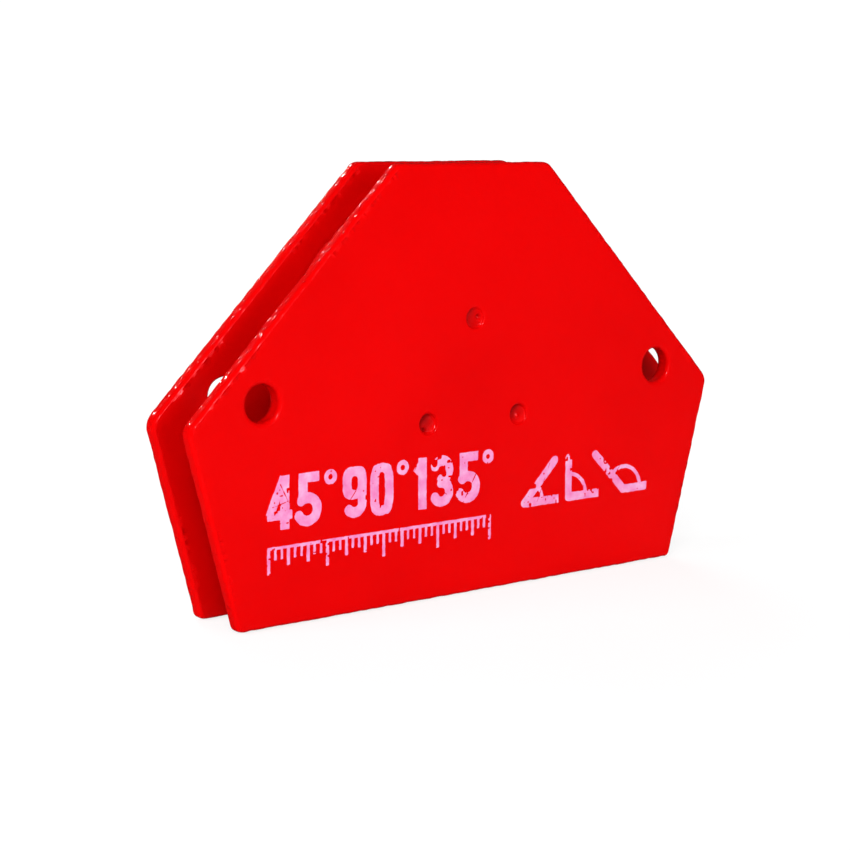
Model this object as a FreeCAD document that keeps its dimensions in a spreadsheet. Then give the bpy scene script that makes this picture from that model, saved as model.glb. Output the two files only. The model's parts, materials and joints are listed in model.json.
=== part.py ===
import FreeCAD, Part
import math
import os
import Sketcher
from FreeCAD import Placement, Rotation, Vector

# Welding magnet holder: two identical six-sided steel plates with a flat ring
# magnet between them, held by three sunk rivets on non-magnetic spacer tubes.
# Millimetres. +X along the width, -Y out of the front plate, +Z up.
# Origin: middle of the base edges, at mid-depth.

os.makedirs("parts", exist_ok=True)
doc = FreeCAD.newDocument("magnet_holder")

# ---------------------------------------------------------------- dimensions
# alias, value, note
DRIVING = [
    ("plate_width", 95.5, "across the two side corners"),
    ("plate_height", 62.0, "base edge to top edge"),
    ("shoulder_height", 28.0, "side corners above the base edge"),
    ("lower_angle", 75.0, "lower side edges, from the base, degrees"),
    ("upper_angle", 45.0, "upper side edges, from the base, degrees"),
    ("plate_thk", 2.4, "steel plate with its coating"),
    ("magnet_gap", 6.9, "between the plates' inner faces"),
    ("corner_rad", 2.5, "shoulder corners of the plate outline"),
    ("top_corner_rad", 1.9, "top corners of the plate outline"),
    ("base_corner_rad", 1.0, "bottom corners of the plate outline"),
    ("edge_rad", 0.6, "rounding along every outline edge"),
    ("hole_dia", 5.3, "through holes, M5 clearance"),
    ("hole_half_pitch", 36.2, "hole centre from mid-width"),
    ("hole_height", 30.7, "hole centre above the base edge"),
    ("hole_lip", 0.3, "rounding at the mouths of the through holes"),
    ("ring_height", 30.35, "centre of the ring and of the rivet circle"),
    ("ring_outer_dia", 57.0, "ring magnet"),
    ("ring_inner_dia", 24.0, "ring magnet"),
    ("ring_chamfer", 0.4, "edges of the sintered ring"),
    ("rivet_circle_dia", 19.3, "circle through the three rivet axes"),
    ("rivet_dia", 2.4, "rivet shank and its plate holes"),
    ("rivet_sink", 0.9, "depth of the flared mouths of the rivet holes"),
    ("rivet_flare", 0.38, "how far each mouth widens beyond the shank, on the radius"),
    ("rivet_below", 0.65, "rivet end below the plate's outer face"),
    ("rivet_crown", 0.12, "raised middle of each rivet end"),
    ("spacer_outer_dia", 4.6, "spacer tube"),
    ("spacer_inner_dia", 2.6, "spacer tube"),
]
# alias, formula, note
DERIVED = [
    ("base_width", "plate_width - 2 * shoulder_height / tan(lower_angle * 1 deg)",
     "base edge of the outline"),
    ("top_width",
     "plate_width - 2 * (plate_height - shoulder_height) / tan(upper_angle * 1 deg)",
     "top edge of the outline"),
    ("rivet_offset", "rivet_circle_dia / 2 * cos(30 deg)", "lower rivets from mid-width"),
    ("rivet_upper_z", "ring_height + rivet_circle_dia / 2", "upper rivet axis"),
    ("rivet_lower_z", "ring_height - rivet_circle_dia / 2 * sin(30 deg)", "lower rivet axes"),
    ("outer_face_y", "magnet_gap / 2 + plate_thk", "plate's outer face from mid-depth"),
    ("rivet_neck_y", "outer_face_y - rivet_sink", "where the shank starts to flare"),
    ("rivet_end_y", "outer_face_y - rivet_below", "rim of the rivet end"),
    ("rivet_crown_y", "rivet_end_y + rivet_crown", "flat middle of the rivet end"),
    ("rivet_shank_rad", "rivet_dia / 2", "rivet shank"),
    ("rivet_head_rad", "rivet_shank_rad + rivet_flare * (1 - rivet_below / rivet_sink)",
     "rim of the rivet end"),
    ("rivet_crown_rad", "rivet_dia / 4", "flat middle of the rivet end"),
]

# Spots on the plate: name, side of mid-width (-1 left, 0 middle, 1 right), height
HOLE_SPOTS = [("left", -1, "hole_height"), ("right", 1, "hole_height")]
RIVET_SPOTS = [
    ("upper", 0, "rivet_upper_z"),
    ("lower_left", -1, "rivet_lower_z"),
    ("lower_right", 1, "rivet_lower_z"),
]

sheet = doc.addObject("Spreadsheet::Sheet", "Params")
rows = [(alias, "%g" % value, note) for alias, value, note in DRIVING]
rows += [(alias, "=" + formula, note) for alias, formula, note in DERIVED]
for row, (alias, content, note) in enumerate(rows, start=1):
    sheet.set("A%d" % row, alias)
    sheet.set("B%d" % row, content)
    sheet.setAlias("B%d" % row, alias)
    sheet.set("C%d" % row, note)
doc.recompute()
size = {alias: float(sheet.get(alias)) for alias, _, _ in rows}

# ------------------------------------------------------------ sketch helpers
# Sketcher's numbers for the points of a curve and for its own axes
START, END, CENTRE = 1, 2, 3
H_AXIS, V_AXIS = -1, -2
ORIGIN = (H_AXIS, START)


def new_sketch(body, name, role="XZ_Plane"):
    sketch = body.newObject("Sketcher::SketchObject", name)
    plane = next(f for f in body.Origin.OriginFeatures if getattr(f, "Role", "") == role)
    sketch.AttachmentSupport = [(plane, "")]
    sketch.MapMode = "FlatFace"
    return sketch


def constrain(sketch, kind, *elements):
    return sketch.addConstraint(Sketcher.Constraint(kind, *elements))


def drive(sketch, kind, elements, name, alias):
    """One named dimension of a sketch, bound to the sheet."""
    index = constrain(sketch, kind, *elements, size[alias])
    sketch.renameConstraint(index, name)
    sketch.setExpression("Constraints." + name, "Params." + alias)


def closed_polygon(sketch, points):
    count = len(points)
    for i in range(count):
        line = Part.LineSegment(Vector(*points[i], 0), Vector(*points[(i + 1) % count], 0))
        sketch.addGeometry(line, False)
    for i in range(count):
        constrain(sketch, "Coincident", i, END, (i + 1) % count, START)


def add_circle(sketch, x, y, name, dia):
    circle = Part.Circle(Vector(x, y, 0), Vector(0, 0, 1), size[dia] / 2)
    index = sketch.addGeometry(circle, False)
    drive(sketch, "Diameter", (index,), name, dia)
    return index


# ----------------------------------------------------------- feature helpers
def new_body(label):
    body = doc.addObject("PartDesign::Body", label)
    body.Label = label
    return body


def finish(body, feature):
    doc.recompute()
    body.Tip = feature


def pad(body, name, sketch, length):
    feature = body.newObject("PartDesign::Pad", name)
    feature.Profile = sketch
    feature.setExpression("Length", "Params." + length)
    finish(body, feature)


def edges_where(shape, test):
    return ["Edge%d" % i for i, edge in enumerate(shape.Edges, start=1) if test(edge)]


def dress(body, kind, name, test, prop, alias):
    """Fillet or chamfer the edges of the body's tip that pass the test."""
    base = body.Tip
    edges = edges_where(base.Shape, test)
    if not edges:
        raise RuntimeError(name + " found no edges")
    feature = body.newObject("PartDesign::" + kind, name)
    feature.Base = (base, edges)
    feature.setExpression(prop, "Params." + alias)
    finish(body, feature)


def is_circle(edge, radius):
    curve = edge.Curve
    return isinstance(curve, Part.Circle) and abs(curve.Radius - radius) < 1e-4 and edge.isClosed()


# --------------------------------------------------------------- side plates
def pad_outline(body):
    """Flat blank: base, lower sides, upper sides and top, symmetric about mid-width."""
    half_width, half_base, half_top = (
        size[alias] / 2 for alias in ("plate_width", "base_width", "top_width")
    )
    shoulder, height = size["shoulder_height"], size["plate_height"]
    sketch = new_sketch(body, body.Label + "_outline")
    closed_polygon(sketch, [
        (-half_base, 0), (half_base, 0), (half_width, shoulder),
        (half_top, height), (-half_top, height), (-half_width, shoulder),
    ])
    # line numbers, counted from the base edge and starting towards the right
    base, lower_right, top, upper_left = 0, 1, 3, 4
    constrain(sketch, "Symmetric", base, START, base, END, V_AXIS)
    constrain(sketch, "Symmetric", lower_right, END, upper_left, END, V_AXIS)
    constrain(sketch, "Symmetric", top, START, top, END, V_AXIS)
    constrain(sketch, "PointOnObject", base, START, H_AXIS)
    for kind, elements, name, alias in (
        ("DistanceX", (upper_left, END, lower_right, END), "width", "plate_width"),
        ("DistanceY", (*ORIGIN, lower_right, END), "shoulder", "shoulder_height"),
        ("DistanceY", (*ORIGIN, top, START), "height", "plate_height"),
        ("DistanceX", (base, START, base, END), "base", "base_width"),
        ("DistanceX", (top, END, top, START), "crest", "top_width"),
    ):
        drive(sketch, kind, elements, name, alias)
    pad(body, body.Label + "_blank", sketch, "plate_thk")


def round_outline(body):
    """Round the six corners, then the outline edges of both faces."""
    thickness = size["plate_thk"]

    def at_corner(x, z):
        def test(edge):
            box = edge.BoundBox
            across = (
                abs(box.YLength - thickness) < 1e-6
                and box.XLength < 1e-6
                and box.ZLength < 1e-6
            )
            return across and abs(abs(box.XMin) - x) < 1e-4 and abs(box.ZMin - z) < 1e-4
        return test

    def on_outline(edge):
        box = edge.BoundBox
        on_face = abs(box.YMin) < 1e-6 or abs(box.YMin + thickness) < 1e-6
        return box.YLength < 1e-6 and on_face

    for suffix, width, z, radius in (
        ("_corners", "plate_width", size["shoulder_height"], "corner_rad"),
        ("_top_corners", "top_width", size["plate_height"], "top_corner_rad"),
        ("_base_corners", "base_width", 0, "base_corner_rad"),
    ):
        corner = at_corner(size[width] / 2, z)
        dress(body, "Fillet", body.Label + suffix, corner, "Radius", radius)
    dress(body, "Fillet", body.Label + "_edges", on_outline, "Radius", "edge_rad")


def bore(body, sketch_name, cut_name, spots, dia, offset):
    """Cut one round hole through the plate at each spot."""
    sketch = new_sketch(body, sketch_name)
    for spot, side, height in spots:
        hole = add_circle(sketch, side * size[offset], size[height], "dia_" + spot, dia)
        drive(sketch, "DistanceY", (*ORIGIN, hole, CENTRE), spot + "_z", height)
        if side == 0:
            constrain(sketch, "PointOnObject", hole, CENTRE, V_AXIS)
        elif side > 0:
            drive(sketch, "DistanceX", (*ORIGIN, hole, CENTRE), spot + "_x", offset)
        else:
            drive(sketch, "DistanceX", (hole, CENTRE, *ORIGIN), spot + "_x", offset)
    bored_area = len(spots) * math.pi * (size[dia] / 2) ** 2
    expected = body.Tip.Shape.Volume - bored_area * size["plate_thk"]
    cut = body.newObject("PartDesign::Pocket", cut_name)
    cut.Profile = sketch
    cut.Type = "ThroughAll"
    cut.Reversed = True
    finish(body, cut)
    if abs(cut.Shape.Volume - expected) > 0.2:
        raise RuntimeError(
            "%s: volume %.2f, expected %.2f" % (cut_name, cut.Shape.Volume, expected)
        )


def flare_rivet_holes(body):
    """Widen the rivet holes towards the plate's outer face."""
    drilled = body.Tip
    shank, depth = size["rivet_shank_rad"], size["rivet_sink"]
    mouth = shank + size["rivet_flare"]

    def on_outer_face(edge):
        return is_circle(edge, shank) and abs(edge.BoundBox.YMin + size["plate_thk"]) < 1e-6

    flared = body.newObject("PartDesign::Chamfer", body.Label + "_mouths")
    flared.Base = (drilled, edges_where(drilled.Shape, on_outer_face))
    flared.ChamferType = "Two distances"
    flared.setExpression("Size", "Params.rivet_flare")
    flared.setExpression("Size2", "Params.rivet_sink")
    finish(body, flared)

    # The volume tells whether the two distances fell on the right faces.
    mean_square = (mouth**2 + mouth * shank + shank**2) / 3
    removed = len(RIVET_SPOTS) * math.pi * depth * (mean_square - shank**2)
    expected = drilled.Shape.Volume - removed
    if abs(flared.Shape.Volume - expected) > 0.02:
        flared.FlipDirection = True
        doc.recompute()
    if abs(flared.Shape.Volume - expected) > 0.02:
        raise RuntimeError(
            "%s: volume %.3f, expected %.3f" % (flared.Label, flared.Shape.Volume, expected)
        )


def make_plate(label):
    """Steel plate. Inner face on the body's XZ plane, thickness to -Y."""
    body = new_body(label)
    pad_outline(body)
    round_outline(body)
    bore(body, label + "_holes", label + "_hole_cut", HOLE_SPOTS, "hole_dia", "hole_half_pitch")
    dress(
        body, "Fillet", label + "_hole_lips",
        lambda edge: is_circle(edge, size["hole_dia"] / 2), "Radius", "hole_lip",
    )
    bore(body, label + "_rivet_holes", label + "_rivet_cut", RIVET_SPOTS,
         "rivet_dia", "rivet_offset")
    flare_rivet_holes(body)
    return body


# -------------------------------------------------- ring, spacers and rivets
def make_ring(label, outer, inner):
    """Flat ring or tube along Y, filling the gap between the two plates."""
    body = new_body(label)
    sketch = new_sketch(body, label + "_section")
    for name, dia in (("outer", outer), ("inner", inner)):
        circle = add_circle(sketch, 0, 0, name, dia)
        constrain(sketch, "Coincident", circle, CENTRE, *ORIGIN)
    pad(body, label + "_pad", sketch, "magnet_gap")
    body.setExpression("Placement.Base.y", "Params.magnet_gap / 2")
    return body


def make_magnet():
    body = make_ring("ring_magnet", "ring_outer_dia", "ring_inner_dia")
    dress(
        body, "Chamfer", "ring_magnet_chamfers",
        lambda edge: isinstance(edge.Curve, Part.Circle), "Size", "ring_chamfer",
    )
    body.setExpression("Placement.Base.z", "Params.ring_height")
    return body


def make_rivet(label):
    """Solid rivet about the body's Y axis, both ends upset into the flared mouths."""
    body = new_body(label)
    sketch = new_sketch(body, label + "_profile", "XY_Plane")
    # radius (None on the axis) and distance from mid-depth, from the end inwards
    half = [
        (None, "rivet_crown_y"),
        ("rivet_crown_rad", "rivet_crown_y"),
        ("rivet_head_rad", "rivet_end_y"),
        ("rivet_shank_rad", "rivet_neck_y"),
    ]
    corners = [(radius, reach, -1) for radius, reach in half]
    corners += [(radius, reach, 1) for radius, reach in reversed(half)]
    closed_polygon(sketch, [
        (size[radius] if radius else 0, side * size[reach]) for radius, reach, side in corners
    ])
    for i, (radius, reach, side) in enumerate(corners):
        if radius:
            drive(sketch, "DistanceX", (*ORIGIN, i, START), "x%02d" % i, radius)
        else:
            constrain(sketch, "PointOnObject", i, START, V_AXIS)
        ends = (i, START, *ORIGIN) if side < 0 else (*ORIGIN, i, START)
        drive(sketch, "DistanceY", ends, "y%02d" % i, reach)
    turned = body.newObject("PartDesign::Revolution", label + "_turned")
    turned.Profile = sketch
    turned.ReferenceAxis = (sketch, ["V_Axis"])
    turned.Angle = 360.0
    finish(body, turned)
    return body


# ------------------------------------------------------------------ assembly
front = make_plate("front_plate")
front.setExpression("Placement.Base.y", "-Params.magnet_gap / 2")
rear = make_plate("rear_plate")
rear.Placement = Placement(Vector(0, 0, 0), Rotation(Vector(0, 0, 1), 180))
rear.setExpression("Placement.Base.y", "Params.magnet_gap / 2")
pieces = [front, rear, make_magnet()]

for spot, side, height in RIVET_SPOTS:
    spacer = make_ring("spacer_" + spot, "spacer_outer_dia", "spacer_inner_dia")
    rivet = make_rivet("rivet_" + spot)
    for piece in (spacer, rivet):
        piece.setExpression("Placement.Base.x", "%d * Params.rivet_offset" % side)
        piece.setExpression("Placement.Base.z", "Params." + height)
        pieces.append(piece)
doc.recompute()

# ---------------------------------------------------------- check and export
for obj in doc.Objects:
    if any(flag in ("Invalid", "Error") for flag in obj.State):
        raise RuntimeError("%s is %s" % (obj.Label, obj.State))
for piece in pieces:
    shape = piece.Shape
    if shape.isNull() or not shape.isValid() or len(shape.Solids) != 1:
        raise RuntimeError(piece.Label + " has no valid single solid")
for i, piece in enumerate(pieces):
    for other in pieces[i + 1:]:
        overlap = piece.Shape.common(other.Shape).Volume
        if overlap > 1e-3:
            raise RuntimeError(
                "%s and %s overlap by %.4f mm3" % (piece.Label, other.Label, overlap)
            )
for piece in pieces:
    piece.Shape.exportStep("parts/%s.step" % piece.Label)
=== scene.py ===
"""Welding magnet holder: two red six-sided steel plates with a ferrite ring between them,
held by three rivets through spacer tubes, with angle marks printed on the front plate.

x runs across the plates, y through them and z up. The plates stand on z = 0, either side of
y = 0, and the printed front plate is on the -y side. Lengths are in millimetres unless a
name or comment says metres; meshes are scaled to metres as they are made.
"""
import json
import math
from collections import Counter

import bmesh
import bpy
import numpy as np
from mathutils import Matrix, Vector
from mathutils.geometry import delaunay_2d_cdt


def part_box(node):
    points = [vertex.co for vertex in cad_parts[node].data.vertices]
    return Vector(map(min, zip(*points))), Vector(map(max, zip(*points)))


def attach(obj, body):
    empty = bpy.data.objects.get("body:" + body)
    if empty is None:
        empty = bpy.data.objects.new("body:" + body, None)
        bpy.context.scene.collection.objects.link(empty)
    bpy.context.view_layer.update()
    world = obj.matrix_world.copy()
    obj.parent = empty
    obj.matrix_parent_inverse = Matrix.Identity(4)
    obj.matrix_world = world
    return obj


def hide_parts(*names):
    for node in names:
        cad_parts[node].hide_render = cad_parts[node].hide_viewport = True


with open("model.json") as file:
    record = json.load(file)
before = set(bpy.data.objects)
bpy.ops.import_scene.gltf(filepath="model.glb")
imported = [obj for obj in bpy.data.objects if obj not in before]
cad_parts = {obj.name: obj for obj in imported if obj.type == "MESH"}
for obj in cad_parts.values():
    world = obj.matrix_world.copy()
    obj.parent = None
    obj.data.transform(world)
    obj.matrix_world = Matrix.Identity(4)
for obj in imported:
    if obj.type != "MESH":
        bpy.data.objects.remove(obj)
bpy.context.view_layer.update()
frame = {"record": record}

MM = 0.001


# ------------------------------------------------------------------ the frame
def box_mm(node):
    low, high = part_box(node)
    return np.array(low) / MM, np.array(high) / MM


PLATE_LOW, PLATE_HIGH = box_mm("front_plate")
RING_LOW, RING_HIGH = box_mm("ring_magnet")
Y_OUT, Y_IN = PLATE_LOW[1], PLATE_HIGH[1]   # front plate: outer face, inner face
THICK = Y_IN - Y_OUT
HEIGHT = PLATE_HIGH[2] - PLATE_LOW[2]
FACE = -Y_OUT                               # from the middle plane to an outer face
HALF_GAP = -Y_IN                            # from the middle plane to an inner face

# hole and rivet centres as (x, z)
MOUNTS = {mount["name"]: mount for mount in frame["record"]["mounts"]}
HOLE_R = MOUNTS["hole_left"]["dims"]["r_mm"]
HOLES = [(MOUNTS[name]["pos_m"][0] / MM, MOUNTS[name]["pos_m"][2] / MM)
         for name in ("hole_left", "hole_right")]
RIVETS = {}
for place in ("upper", "lower_left", "lower_right"):
    low, high = box_mm("rivet_" + place)
    RIVETS[place] = ((low[0] + high[0]) / 2, (low[2] + high[2]) / 2)

RING_Z = (RING_LOW[2] + RING_HIGH[2]) / 2
RING_R = (RING_HIGH[0] - RING_LOW[0]) / 2
RING_BORE_R, RING_CHAMFER, RING_COUNT = 12.0, 0.4, 540
TUBE_R, TUBE_BORE_R, TUBE_CHAMFER, TUBE_COUNT = 2.3, 1.3, 0.18, 64

# plate outline: width between sharp corners, height of the widest point, side angles
WIDTH, SHOULDER, LOWER_ANGLE, UPPER_ANGLE = 95.5, 28.0, 75.0, 45.0
BASE_R, SHOULDER_R, TOP_R = 1.0, 2.5, 1.9
OUTLINE_STEP, GRID = 0.34, 0.62             # mesh spacing: along the outline, on the faces
EDGE_R = 0.6                                # rounding of the plate's edges
CROWN = 0.14                                # how far the edge wall bulges at mid thickness

# rounding of the through holes' mouths: outward and into the plate
LIP_OUT, LIP_OUT_DEPTH = 0.72, 0.62         # at the outer face
LIP_IN, LIP_IN_DEPTH = 0.40, 0.3            # at the inner face
HOLE_COUNT = 72

# rivet shank, and the cone of its countersink: extra radius at the face, depth
SHANK_R, FLARE, SINK = 1.2, 0.38, 0.90
MOUTH_R = SHANK_R + FLARE
SEAT_COUNT, RIVET_COUNT = 56, 72
RIVET_GAP = 0.012                           # overlap of the end's rim, gap beside its cone
NECK_DROP = 0.02                            # the cone stops this far short of SINK

FRONT_SEED, REAR_SEED = 11, 57


# ------------------------------------------------------------- repeatable noise
def lattice_hash(ix, iy, iz, seed):
    """Repeatable random value in -1..1 for whole-number places."""
    h = (ix * 374761393 + iy * 668265263 + iz * 2147483647 + seed * 1274126177) & 0xFFFFFFFF
    h = ((h ^ (h >> 13)) * 1274126177) & 0xFFFFFFFF
    h = ((h ^ (h >> 16)) * 2246822519) & 0xFFFFFFFF
    return ((h ^ (h >> 15)) & 0xFFFFFF) / float(0xFFFFFF) * 2.0 - 1.0


def noise3(x, y, z, wavelength, seed):
    """Smooth value noise in -1..1. x is an array; y and z may be numbers."""
    x, y, z = (np.asarray(a, float) / wavelength + 1000.0 for a in (x, y, z))
    ix, iy, iz = (np.floor(a).astype(np.int64) for a in (x, y, z))
    fx, fy, fz = x - ix, y - iy, z - iz
    fx, fy, fz = (f * f * f * (f * (f * 6 - 15) + 10) for f in (fx, fy, fz))
    total = 0.0
    for dx in (0, 1):
        wx = fx if dx else 1 - fx
        for dy in (0, 1):
            wy = fy if dy else 1 - fy
            for dz in (0, 1):
                wz = fz if dz else 1 - fz
                total = total + wx * wy * wz * lattice_hash(ix + dx, iy + dy, iz + dz, seed)
    return total


def smooth(t):
    t = np.clip(t, 0.0, 1.0)
    return t * t * (3 - 2 * t)


# ------------------------------------------------------------------ mesh tools
def turn_outward(mesh):
    """Make all faces point outward."""
    bm = bmesh.new()
    bm.from_mesh(mesh)
    bmesh.ops.recalc_face_normals(bm, faces=bm.faces)
    bm.to_mesh(mesh)
    bm.free()


def outward_normals(points, faces):
    """Smooth vertex normals of a closed mesh."""
    mesh = bpy.data.meshes.new("probe")
    mesh.from_pydata([tuple(p) for p in points], [], faces)
    turn_outward(mesh)
    normals = np.zeros(len(points) * 3)
    mesh.vertex_normals.foreach_get("vector", normals)
    bpy.data.meshes.remove(mesh)
    return normals.reshape(-1, 3)


def link_object(name, data):
    obj = bpy.data.objects.new(name, data)
    bpy.context.scene.collection.objects.link(obj)
    return obj


def make_object(name, points, faces, smooth_shading=True):
    """Object from points in millimetres."""
    mesh = bpy.data.meshes.new(name)
    mesh.from_pydata([tuple(p) for p in np.asarray(points, float) * MM], [], faces)
    mesh.validate()
    mesh.update()
    if smooth_shading:
        mesh.polygons.foreach_set("use_smooth", [True] * len(mesh.polygons))
    return link_object(name, mesh)


def finish(obj, material, node=None):
    """Face the object outward, attach it to the root body, hide the part it replaces and give it
    its material.
    """
    turn_outward(obj.data)
    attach(obj, "root")
    if node:
        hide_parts(node)
    obj.data.materials.append(material)


def bridge(loop_a, loop_b):
    """Quads between two closed loops of the same length."""
    n = len(loop_a)
    return [(loop_a[i], loop_a[(i + 1) % n], loop_b[(i + 1) % n], loop_b[i]) for i in range(n)]


def skin(loops):
    """Quads through a row of closed loops."""
    return [face for a, b in zip(loops[:-1], loops[1:]) for face in bridge(a, b)]


def circle(centre, radius, count):
    """(x, z) points round a centre; the radius may vary from point to point."""
    angle = np.arange(count) * 2 * math.pi / count
    return np.stack([centre[0] + radius * np.cos(angle), centre[1] + radius * np.sin(angle)], 1)


def between(start, end, steps):
    """Evenly spaced values strictly between two ends."""
    return [start + (end - start) * i / steps for i in range(1, steps)]


def quarter_round(inset, depth, steps):
    """(inset, depth) pairs of a quarter ellipse, from the face down to the wall."""
    angles = [math.pi / 2 * i / steps for i in range(steps + 1)]
    return [(inset * (1 - math.sin(a)), depth * (1 - math.cos(a))) for a in angles]


# -------------------------------------------------------------- plate outline
def unit(vector):
    return vector / np.linalg.norm(vector)


def tangent_length(radius, along_a, along_b):
    """Distance from a sharp corner to where its rounding begins."""
    return radius * math.tan(math.acos(np.clip(along_a @ along_b, -1, 1)) / 2)


def plate_outline(step):
    """(x, z) points on the outline and their outward normals, counter-clockwise."""
    half_width = WIDTH / 2
    half_base = half_width - SHOULDER / math.tan(math.radians(LOWER_ANGLE))
    half_top = half_width - (HEIGHT - SHOULDER) / math.tan(math.radians(UPPER_ANGLE))
    corners = [(-half_base, 0), (half_base, 0), (half_width, SHOULDER),
               (half_top, HEIGHT), (-half_top, HEIGHT), (-half_width, SHOULDER)]
    radii = [BASE_R, BASE_R, SHOULDER_R, TOP_R, TOP_R, SHOULDER_R]
    n = len(corners)
    points, normals = [], []
    for i in range(n):
        before, corner, after, beyond = (
            np.array(corners[(i + k) % n], float) for k in (-1, 0, 1, 2))
        radius = radii[i]
        along_in, along_out = unit(corner - before), unit(after - corner)
        along_next = unit(beyond - after)
        normal_in = np.array([along_in[1], -along_in[0]])
        normal_out = np.array([along_out[1], -along_out[0]])
        cut = tangent_length(radius, along_in, along_out)

        # the rounded corner
        centre = corner - along_in * cut - normal_in * radius
        start = math.atan2(normal_in[1], normal_in[0])
        end = math.atan2(normal_out[1], normal_out[0])
        if end < start:
            end += 2 * math.pi
        steps = max(6, int(math.ceil((end - start) * radius / (step * 0.7))))
        for j in range(steps + 1):
            angle = start + (end - start) * j / steps
            direction = np.array([math.cos(angle), math.sin(angle)])
            points.append(centre + direction * radius)
            normals.append(direction)

        # the straight run to the next rounding
        run_start = corner + along_out * cut
        run_end = after - along_out * tangent_length(radii[(i + 1) % n], along_out, along_next)
        steps = int(round(np.linalg.norm(run_end - run_start) / step))
        for j in range(1, steps):
            points.append(run_start + (run_end - run_start) * j / steps)
            normals.append(normal_out)
    return np.array(points), np.array(normals)


def outline_distance(x, z):
    """Distance inside the sharp-cornered outline."""
    out = WIDTH / 2 - np.abs(x)
    lower, upper = math.radians(LOWER_ANGLE), math.radians(UPPER_ANGLE)
    low_side = out * math.sin(lower) + (z - SHOULDER) * math.cos(lower)
    up_side = out * math.sin(upper) - (z - SHOULDER) * math.cos(upper)
    return np.minimum(np.minimum(z, HEIGHT - z), np.minimum(low_side, up_side))


# --------------------------------------------------- paint surface, in geometry
def face_relief(x, z, seed):
    """Slow unevenness of the painted faces, slanted below the plain surface."""
    return 0.012 * noise3(x, 0, z, 9.0, seed) + 0.007 * noise3(x, 0, z, 3.4, seed + 1) - 0.014


def edge_relief(x, y, z, seed):
    """Paint over the marks that blanking leaves across the plate's edges."""
    marks = (0.042 * noise3(x, y * 0.25, z, 0.95, seed + 7)
             + 0.020 * noise3(x, y * 0.4, z, 0.55, seed + 8))
    return marks + 0.016 * noise3(x, y * 0.5, z, 3.1, seed + 9) - 0.060


def closeness(x, z, centres, radius, reach):
    """1 within a radius of any centre, falling to 0 over the reach beyond it."""
    near = np.zeros(len(x))
    for cx, cz in centres:
        near = np.maximum(near, 1 - smooth((np.hypot(x - cx, z - cz) - radius) / reach))
    return near


def plate_relief(x, y, z, seed):
    """Height of the paint: smooth faces, lumpy edges and hole lips."""
    rims = np.maximum(closeness(x, z, HOLES, HOLE_R, 1.5),
                      0.7 * closeness(x, z, RIVETS.values(), MOUTH_R, 1.2))
    edge = (1 - smooth((outline_distance(x, z) - 0.15) / 1.15)) * (1 - rims)
    rims = 0.8 * rims
    lip = 0.030 * noise3(x, y * 0.5, z, 1.0, seed + 21) + 0.035
    return (face_relief(x, z, seed) * (1 - edge) * (1 - rims)
            + edge_relief(x, y, z, seed) * edge
            + lip * rims * closeness(x, z, HOLES, HOLE_R, 0.5))


# ------------------------------------------------------------------ the plates
def in_polygon(points, loop):
    """Which points lie inside a closed loop, by counting crossings."""
    x, z = points[:, 0][:, None], points[:, 1][:, None]
    px, pz = loop[:, 0], loop[:, 1]
    qx, qz = np.roll(px, -1), np.roll(pz, -1)
    cross = ((pz > z) != (qz > z)) & (x < (qx - px) * (z - pz) / (qz - pz + 1e-12) + px)
    return cross.sum(1) % 2 == 1


def face_grid(outer, openings, seed):
    """Slightly shaken staggered grid inside the outline and clear of the openings."""
    rows = int(HEIGHT / (GRID * 0.866)) + 2
    cols = int(WIDTH / GRID) + 2
    x, z = np.meshgrid(np.arange(cols) * GRID - WIDTH / 2, np.arange(rows) * GRID * 0.866)
    x = x + (np.arange(rows)[:, None] % 2) * GRID / 2
    x, z = x.ravel(), z.ravel()
    k = np.arange(x.size)
    x = x + 0.10 * GRID * lattice_hash(k, k * 3, k * 7, seed)
    z = z + 0.10 * GRID * lattice_hash(k * 5, k, k * 11, seed + 1)
    keep = outline_distance(x, z) > EDGE_R + 0.55 * GRID
    for cx, cz, radius in openings:
        keep &= np.hypot(x - cx, z - cz) > radius + 0.55 * GRID
    grid = np.stack([x[keep], z[keep]], 1)

    # stay clear of the rounded corners, where the loop cuts inside the sharp outline
    edge = np.nonzero(outline_distance(grid[:, 0], grid[:, 1]) < 2.2)[0]
    gap = np.hypot(grid[edge, None, 0] - outer[None, :, 0],
                   grid[edge, None, 1] - outer[None, :, 1]).min(1)
    keep = np.ones(len(grid), bool)
    keep[edge] = (gap >= 0.5 * GRID) & in_polygon(grid[edge], outer)
    return grid[keep]


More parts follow.
